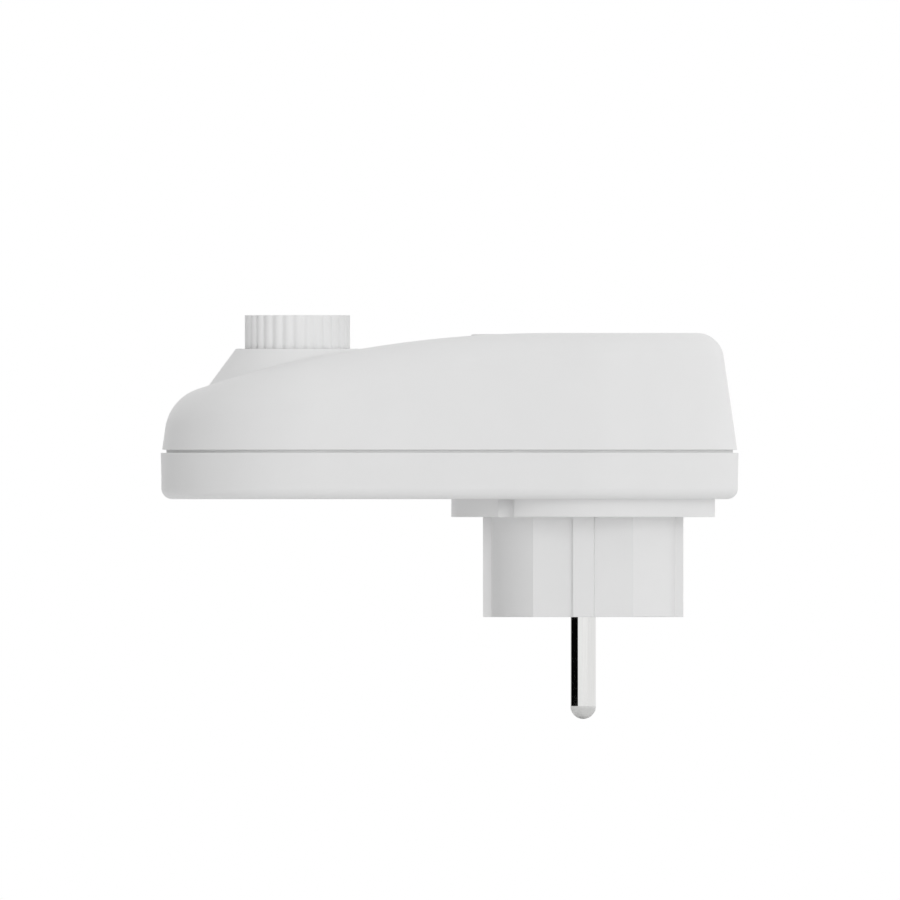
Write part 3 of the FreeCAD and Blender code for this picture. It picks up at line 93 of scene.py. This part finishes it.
def make_camera():
    """Level with the object and square to its long side, without perspective."""
    data = bpy.data.cameras.new("camera")
    data.type = "ORTHO"
    data.ortho_scale = VIEW_WIDTH
    data.clip_start, data.clip_end = VIEW_CLIP
    camera = link(bpy.data.objects.new("camera", data))
    camera.location = VIEW_CENTRE
    camera.rotation_euler = (math.pi / 2, 0, 0)
    bpy.context.scene.camera = camera


def make_world():
    """A white studio: full white as a backdrop and in reflections, dimmer and softer as a light."""
    world = bpy.data.worlds.new("studio")
    world.use_nodes = True
    tree = world.node_tree
    background = tree.nodes["Background"]
    background.inputs["Color"].default_value = (1, 1, 1, 1)
    place = tree.nodes.new("ShaderNodeTexCoord")
    axes = tree.nodes.new("ShaderNodeSeparateXYZ")
    sky = tree.nodes.new("ShaderNodeMapRange")
    sky.inputs["To Min"].default_value = SKY_LEVEL
    sky.inputs["To Max"].default_value = SKY_OVERHEAD
    tree.links.new(place.outputs["Generated"], axes.inputs[0])
    tree.links.new(axes.outputs["Z"], sky.inputs["Value"])
    level = sky.outputs["Result"]
    path = tree.nodes.new("ShaderNodeLightPath")
    for ray in ("Is Camera Ray", "Is Glossy Ray", "Is Transmission Ray"):
        either = tree.nodes.new("ShaderNodeMath")
        either.operation = "MAXIMUM"
        tree.links.new(level, either.inputs[0])
        tree.links.new(path.outputs[ray], either.inputs[1])
        level = either.outputs[0]
    tree.links.new(level, background.inputs["Strength"])
    bpy.context.scene.world = world


def card_paper(name, level):
    """Black paper, or paper lit to a level of its own."""
    material, tree, shader = new_material(name)
    shader.inputs["Base Color"].default_value = (CARD_BLACK, CARD_BLACK, CARD_BLACK, 1)
    shader.inputs["Roughness"].default_value = 1.0
    shader.inputs["Specular IOR Level"].default_value = 0.0
    shader.inputs["Emission Color"].default_value = (1, 1, 1, 1)
    shader.inputs["Emission Strength"].default_value = level
    return material


def make_card(name, azimuths, radius, heights, level):
    """A studio card, curved about the object and never seen by the camera itself."""
    start, end = azimuths
    mesh = bpy.data.meshes.new(name)
    build = bmesh.new()
    rows = []
    for number in range(CARD_STEPS + 1):
        azimuth = math.radians(start + (end - start) * number / CARD_STEPS)
        x, y = radius * math.sin(azimuth), -radius * math.cos(azimuth)
        rows.append([build.verts.new((x, y, z)) for z in heights])
    for one, two in zip(rows, rows[1:]):
        build.faces.new((one[0], two[0], two[1], one[1]))
    build.to_mesh(mesh)
    build.free()
    card = link(bpy.data.objects.new(name, mesh))
    card.data.materials.append(card_paper(name + "_paper", level))
    card.visible_camera = False
    card.visible_shadow = False
    return card


def make_cards():
    """Two cards that only reflections see, and a tall dark side that only soft light sees."""
    cards = (("pin_card", PIN_CARD, 0.0), ("grey_card", GREY_CARD, GREY_LEVEL))
    for name, azimuths, level in cards:
        make_card(name, azimuths, PIN_CARD_R, PIN_CARD_Z, level).visible_diffuse = False
    make_card("dark_side", DARK_SIDE, DARK_SIDE_R, DARK_SIDE_Z, 0.0).visible_glossy = False


def make_light(name, azimuth, strength):
    """A broad soft light from far off."""
    data = bpy.data.lights.new(name, "SUN")
    data.angle = math.radians(LIGHT_SPREAD)
    data.energy = strength
    light = link(bpy.data.objects.new(name, data))
    turn, rise = math.radians(azimuth), math.radians(LIGHT_ELEVATION)
    level = math.cos(rise)
    towards = Vector((math.sin(turn) * level, -math.cos(turn) * level, math.sin(rise)))
    light.rotation_euler = towards.to_track_quat("Z", "Y").to_euler()
    light.visible_glossy = False


def make_floors():
    """The floor, and a second sheet under it for low views, whose camera starts below the floor."""
    paper = paper_floor()
    for name, z in (("floor", FLOOR_Z), ("underlay", FLOOR_Z - UNDERLAY_DEPTH)):
        mesh = bpy.data.meshes.new(name)
        build = bmesh.new()
        bmesh.ops.create_circle(build, cap_ends=True, segments=FLOOR_SIDES, radius=FLOOR_R)
        build.to_mesh(mesh)
        build.free()
        sheet = link(bpy.data.objects.new(name, mesh))
        sheet.location = (0, 0, z)
        mesh.materials.append(paper)


# ---------------------------------------------------------------- materials
NOISE_RANGE = (0.3, 0.7)


def new_material(name):
    material = bpy.data.materials.new(name)
    material.use_nodes = True
    tree = material.node_tree
    return material, tree, tree.nodes["Principled BSDF"]


def noise(tree, size, detail=2.0, stretch=(1, 1, 1)):
    """Three-dimensional noise whose features are about size metres across."""
    place = tree.nodes.new("ShaderNodeTexCoord")
    mapping = tree.nodes.new("ShaderNodeMapping")
    mapping.inputs["Scale"].default_value = stretch
    texture = tree.nodes.new("ShaderNodeTexNoise")
    texture.inputs["Scale"].default_value = 1 / size
    texture.inputs["Detail"].default_value = detail
    tree.links.new(place.outputs["Object"], mapping.inputs["Vector"])
    tree.links.new(mapping.outputs["Vector"], texture.inputs["Vector"])
    return texture.outputs["Fac"]


def colour_between(tree, factor, first, second):
    ramp = tree.nodes.new("ShaderNodeValToRGB")
    low, high = ramp.color_ramp.elements
    low.position, high.position = NOISE_RANGE
    low.color, high.color = (*first, 1), (*second, 1)
    tree.links.new(factor, ramp.inputs["Fac"])
    return ramp.outputs["Color"]


def value_between(tree, factor, first, second):
    span = tree.nodes.new("ShaderNodeMapRange")
    span.inputs["From Min"].default_value = NOISE_RANGE[0]
    span.inputs["From Max"].default_value = NOISE_RANGE[1]
    span.inputs["To Min"].default_value = first
    span.inputs["To Max"].default_value = second
    tree.links.new(factor, span.inputs["Value"])
    return span.outputs["Result"]


def bump(tree, shader, height, depth, strength=1.0):
    relief = tree.nodes.new("ShaderNodeBump")
    relief.inputs["Strength"].default_value = strength
    relief.inputs["Distance"].default_value = depth
    tree.links.new(height, relief.inputs["Height"])
    tree.links.new(relief.outputs["Normal"], shader.inputs["Normal"])


def shade(colour, change):
    return tuple(min(channel * (1 + change), 1.0) for channel in colour)


def moulded(name, colour, roughness, grain=0.22 * MM, depth=1.5e-6, patch=9 * MM):
    """Moulded plastic: a fine spark-eroded grain, and slow changes of tone and gloss."""
    material, tree, shader = new_material(name)
    slow = noise(tree, patch)
    tree.links.new(
        colour_between(tree, slow, shade(colour, -0.006), shade(colour, 0.006)),
        shader.inputs["Base Color"],
    )
    fine = noise(tree, grain, 3.0)
    tree.links.new(
        value_between(tree, fine, roughness - 0.04, roughness + 0.04),
        shader.inputs["Roughness"],
    )
    bump(tree, shader, fine, depth)
    return material


def metal(name, colour, roughness, lines=(1, 1, 1), depth=0.6e-6, grain=0.25 * MM):
    """Plated or bare metal, with drawing lines where the noise is stretched."""
    material, tree, shader = new_material(name)
    shader.inputs["Metallic"].default_value = 1.0
    streaks = noise(tree, grain, 4.0, lines)
    tree.links.new(
        colour_between(tree, streaks, shade(colour, -0.03), shade(colour, 0.02)),
        shader.inputs["Base Color"],
    )
    tree.links.new(
        value_between(tree, streaks, roughness * 0.8, roughness * 1.25),
        shader.inputs["Roughness"],
    )
    bump(tree, shader, streaks, depth)
    return material


def clear_lens(name):
    material, tree, shader = new_material(name)
    shader.inputs["Base Color"].default_value = (0.96, 0.98, 0.97, 1)
    shader.inputs["Transmission Weight"].default_value = 1.0
    shader.inputs["IOR"].default_value = 1.49
    haze = noise(tree, 0.6 * MM, 3.0)
    tree.links.new(value_between(tree, haze, 0.01, 0.05), shader.inputs["Roughness"])
    bump(tree, shader, haze, 0.2e-6)
    return material


def circuit_board(name):
    """Green solder mask over a weave of copper areas."""
    material, tree, shader = new_material(name)
    copper = noise(tree, 2.5 * MM, 0.0)
    tree.links.new(
        colour_between(tree, copper, (0.012, 0.10, 0.045), (0.03, 0.19, 0.08)),
        shader.inputs["Base Color"],
    )
    weave = noise(tree, 0.4 * MM, 2.0)
    tree.links.new(value_between(tree, weave, 0.25, 0.38), shader.inputs["Roughness"])
    bump(tree, shader, copper, 20e-6)
    return material


def paper_floor():
    """Pale paper, which a view from below looks through, with a painted glow that only reflections
    see.
    """
    material, tree, shader = new_material("studio_paper")
    cloud = noise(tree, 60 * MM)
    tree.links.new(
        colour_between(tree, cloud, (0.90, 0.90, 0.90), (0.92, 0.92, 0.92)),
        shader.inputs["Base Color"],
    )
    fibre = noise(tree, 0.8 * MM, 4.0)
    tree.links.new(value_between(tree, fibre, 0.75, 0.9), shader.inputs["Roughness"])
    bump(tree, shader, fibre, 8e-6)
    side = tree.nodes.new("ShaderNodeNewGeometry")
    opening = tree.nodes.new("ShaderNodeMapRange")
    opening.inputs["To Min"].default_value = 1.0
    opening.inputs["To Max"].default_value = 0.0
    tree.links.new(side.outputs["Backfacing"], opening.inputs["Value"])
    tree.links.new(opening.outputs["Result"], shader.inputs["Alpha"])
    # painted reflection: the paper glows a little, but only for glossy rays, so it looks brighter in
    # reflections than it is lit
    path = tree.nodes.new("ShaderNodeLightPath")
    glow = tree.nodes.new("ShaderNodeMapRange")
    glow.inputs["To Max"].default_value = FLOOR_PAINTED_REFLECTION_GLOW
    tree.links.new(path.outputs["Is Glossy Ray"], glow.inputs["Value"])
    tree.links.new(glow.outputs["Result"], shader.inputs["Emission Strength"])
    shader.inputs["Emission Color"].default_value = (1, 1, 1, 1)
    return material


def make_materials():
    """One finish for each material slot of the record."""
    white = (0.86, 0.86, 0.86)
    bright = (0.91, 0.91, 0.91)
    return {
        "casing": moulded("casing", white, 0.46),
        "insert_plastic": moulded("insert_plastic", (0.868, 0.868, 0.868), 0.42, grain=0.3 * MM),
        "knob_plastic": moulded("knob_plastic", bright, 0.40, grain=0.3 * MM, depth=1e-6),
        "label": moulded("label", (0.80, 0.80, 0.79), 0.6, grain=0.5 * MM, depth=2e-6),
        "steel": metal("steel", (0.62, 0.62, 0.63), 0.30),
        "pin_nickel": metal("pin_nickel", (0.80, 0.80, 0.79), 0.025, (1, 1, 0.04), 0.05e-6),
        "brass": metal("brass", (0.78, 0.62, 0.34), 0.28),
        "earth_metal": metal("earth_metal", (0.68, 0.68, 0.67), 0.22, (1, 1, 0.05)),
        "inner_plastic": moulded("inner_plastic", (0.05, 0.05, 0.055), 0.5),
        "shutter_plastic": moulded("shutter_plastic", (0.55, 0.55, 0.55), 0.42),
        "capacitor_body": moulded("capacitor_body", (0.62, 0.50, 0.10), 0.3),
        "capacitor_sleeve": moulded("capacitor_sleeve", (0.02, 0.025, 0.05), 0.3),
        "varistor_body": moulded("varistor_body", (0.06, 0.16, 0.42), 0.4, grain=0.6 * MM),
        "fuse_glass": moulded("fuse_glass", (0.80, 0.80, 0.77), 0.3),
        "shunt_alloy": metal("shunt_alloy", (0.52, 0.42, 0.35), 0.35, (1, 0.05, 1)),
        "component_plastic": moulded("component_plastic", (0.03, 0.03, 0.033), 0.5),
        "connector_plastic": moulded("connector_plastic", (0.68, 0.65, 0.54), 0.45),
        "circuit_board": circuit_board("circuit_board"),
        "lead_brown": moulded("lead_brown", (0.16, 0.07, 0.035), 0.45),
        "lead_blue": moulded("lead_blue", (0.03, 0.10, 0.36), 0.45),
        "lens": clear_lens("lens"),
        "gasket": moulded("gasket", (0.03, 0.03, 0.03), 0.6),
        "lcd_glass": moulded("lcd_glass", (0.30, 0.335, 0.275), 0.16, grain=0.4 * MM, depth=0.1e-6),
        "ribbon_film": moulded("ribbon_film", (0.50, 0.26, 0.06), 0.3),
        "shaft_plastic": moulded("shaft_plastic", (0.72, 0.72, 0.70), 0.45),
        "ink": moulded("ink", (0.075, 0.078, 0.085), 0.5, grain=0.08 * MM, depth=0.8e-6),
        "segment": moulded("segment", (0.215, 0.245, 0.20), 0.2, grain=0.2 * MM, depth=0.1e-6),
    }


def paint_nodes(materials):
    for part in frame["record"]["subparts"]:
        mesh = NODES[part["node"]].data
        mesh.materials.clear()
        mesh.materials.append(materials[part["material_slot"]])


# ---------------------------------------------------------------- printed and inlaid details
def surface_of(node):
    mesh = NODES[node].data
    return BVHTree.FromPolygons([v.co for v in mesh.vertices], [p.vertices for p in mesh.polygons])


def drop(tree, x, y, from_z):
    """Height at which a plumb line from from_z first meets a surface."""
    return tree.ray_cast(Vector((x, y, from_z)), Vector((0, 0, -1)))[0].z


def prisms(name, outlines, thickness, place, material, body):
    """Thin solid pieces from flat outlines, one mesh, standing on the z = 0 plane of place."""
    build = bmesh.new()
    for outline in outlines:
        low = [build.verts.new((x, y, 0)) for x, y in outline]
        high = [build.verts.new((x, y, thickness)) for x, y in outline]
        build.faces.new(high)
        build.faces.new(low[::-1])
        for number, corner in enumerate(low):
            after = (number + 1) % len(low)
            build.faces.new((corner, low[after], high[after], high[number]))
    bmesh.ops.recalc_face_normals(build, faces=build.faces)
    mesh = bpy.data.meshes.new(name)
    build.to_mesh(mesh)
    build.free()
    mesh.materials.append(material)
    piece = link(bpy.data.objects.new(name, mesh))
    piece.matrix_world = place
    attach(piece, body)
    return piece


def bar(x0, x1, y0, y1):
    return [(x0, y0), (x1, y0), (x1, y1), (x0, y1)]


def frame_bars(half_x, half_y, inner_x, inner_y):
    """The four mitred sides of a rectangular frame."""
    outer = bar(-half_x, half_x, -half_y, half_y)
    inner = bar(-inner_x, inner_x, -inner_y, inner_y)
    sides = []
    for number in range(4):
        after = (number + 1) % 4
        sides.append([outer[number], outer[after], inner[after], inner[number]])
    return sides


PRINT_T = 0.015 * MM
TICK_R = (10.4 * MM, 11.2 * MM)
TICK_HALF = 0.16 * MM
TICK_STEP = 30
TICKS_EACH_WAY = 5


def scale_ticks(material):
    """One mark on the collar for each of the knob's positions."""
    middle_r = sum(TICK_R) / 2
    z = drop(surface_of("upper_shell"), KNOB_CENTRE.x, -middle_r, KNOB_HIGH.z)
    outlines = []
    for number in range(-TICKS_EACH_WAY, TICKS_EACH_WAY + 1):
        turn = Matrix.Rotation(math.radians(-90 + TICK_STEP * number), 2)
        corners = bar(TICK_R[0], TICK_R[1], -TICK_HALF, TICK_HALF)
        outlines.append([tuple(turn @ Vector(corner)) for corner in corners])
    place = Matrix.Translation((KNOB_CENTRE.x, KNOB_CENTRE.y, z))
    prisms("scale_ticks", outlines, PRINT_T, place, material, "housing")


POINTER_R = (3.55 * MM, 8.85 * MM)
POINTER_HALF = 0.35 * MM
POINTER_T = 0.2 * MM


def pointer_inlay(material):
    """The paint in the knob's pointer groove."""
    z = drop(surface_of("knob"), KNOB_CENTRE.x, -sum(POINTER_R) / 2, KNOB_HIGH.z + MM)
    outline = bar(-POINTER_HALF, POINTER_HALF, -POINTER_R[1], -POINTER_R[0])
    place = Matrix.Translation((KNOB_CENTRE.x, 0, z))
    prisms("pointer_inlay", [outline], POINTER_T, place, material, "knob")


UPWARD = 0.9


def display_place(node, above):
    """The sloping display's own axes, on the upper or lower face of one of its layers."""
    mesh = NODES["display_lens"].data
    faces = [face for face in mesh.polygons if face.normal.z > UPWARD]
    normal = sum((face.normal * face.area for face in faces), Vector()).normalized()
    along = Vector((0, 1, 0))
    across = along.cross(normal).normalized()
    heights = [normal.dot(v.co) for v in NODES[node].data.vertices]
    height = max(heights) if above else min(heights)
    low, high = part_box(node)
    middle = (low + high) / 2
    origin = middle + normal * (height - normal.dot(middle))
    axes = Matrix((across, along, normal)).transposed()
    return Matrix.Translation(origin) @ axes.to_4x4()


MASK_OUTER = (5.7 * MM, 16.9 * MM)
MASK_INNER = (4.7 * MM, 14.9 * MM)


def lens_mask(material):
    """The dark border printed on the lens's under side."""
    place = display_place("display_lens", above=False) @ Matrix.Translation((0, 0, -PRINT_T))
    bars = frame_bars(*MASK_OUTER, *MASK_INNER)
    prisms("lens_mask", bars, PRINT_T, place, material, "housing")


DIGITS = 4
DIGIT_PITCH = 6.0 * MM
DIGIT_W = 3.7 * MM
DIGIT_H = 6.2 * MM
SEGMENT_HALF = 0.36 * MM
SEGMENT_GAP = 0.12 * MM
SEGMENT_T = 0.02 * MM
POINT_HALF = 0.35 * MM
FLAG_HALF = 0.3 * MM
FLAG_LENGTH = 1.6 * MM
FLAG_ROW = 4.0 * MM


def segment(start, end):
    """One stroke of a digit, pointed at both ends."""
    start, end = Vector(start), Vector(end)
    ahead = (end - start).normalized()
    side = Vector((-ahead.y, ahead.x)) * SEGMENT_HALF
    start, end = start + ahead * SEGMENT_GAP, end - ahead * SEGMENT_GAP
    inner_start, inner_end = start + ahead * SEGMENT_HALF, end - ahead * SEGMENT_HALF
    near = (inner_start - side, inner_end - side)
    far = (inner_end + side, inner_start + side)
    return [tuple(corner) for corner in (start, *near, end, *far)]


def lcd_segments(material):
    """The unlit strokes, points and flags of the display, a little darker than its glass."""
    half_w, half_h = DIGIT_W / 2, DIGIT_H / 2
    outlines = []
    for number in range(DIGITS):
        y = (number - (DIGITS - 1) / 2) * DIGIT_PITCH
        for x in (-half_h, 0, half_h):
            outlines.append(segment((x, y - half_w), (x, y + half_w)))
        for side in (-half_w, half_w):
            outlines.append(segment((-half_h, y + side), (0, y + side)))
            outlines.append(segment((0, y + side), (half_h, y + side)))
        point = y - DIGIT_PITCH / 2
        x0, x1 = -half_h - POINT_HALF, -half_h + POINT_HALF
        outlines.append(bar(x0, x1, point - POINT_HALF, point + POINT_HALF))
        for side in (-1, 1):
            middle = y + side * DIGIT_PITCH / 4
            x0, x1 = FLAG_ROW - FLAG_HALF, FLAG_ROW + FLAG_HALF
            outlines.append(bar(x0, x1, middle - FLAG_LENGTH / 2, middle + FLAG_LENGTH / 2))
    place = display_place("lcd_cell", above=True)
    prisms("lcd_segments", outlines, SEGMENT_T, place, material, "housing")


LABEL_MARGIN = 1.2 * MM
RULE_T = 0.18 * MM
RULES = 6


def label_print(material):
    """A border and plain rules on the blank label under the housing."""
    centre = (LABEL_LOW + LABEL_HIGH) / 2
    half = (LABEL_HIGH - LABEL_LOW) / 2
    half_x, half_y = half.x - LABEL_MARGIN, half.y - LABEL_MARGIN
    outlines = frame_bars(half_x, half_y, half_x - RULE_T, half_y - RULE_T)
    for number in range(1, RULES + 1):
        y = -half_y + 2 * half_y * number / (RULES + 1)
        reach = half_x - LABEL_MARGIN
        outlines.append(bar(-reach, reach, y - RULE_T / 2, y + RULE_T / 2))
    place = Matrix.Translation((centre.x, centre.y, LABEL_LOW.z - PRINT_T))
    prisms("label_print", outlines, PRINT_T, place, material, "housing")


make_camera()
make_world()
make_light("key", KEY_AZIMUTH, KEY)
make_light("fill", FILL_AZIMUTH, FILL)
make_cards()
make_floors()
bpy.context.scene.view_settings.view_transform = "Standard"
MATERIALS = make_materials()
paint_nodes(MATERIALS)
scale_ticks(MATERIALS["ink"])
pointer_inlay(MATERIALS["ink"])
lens_mask(MATERIALS["ink"])
lcd_segments(MATERIALS["segment"])
label_print(MATERIALS["ink"])
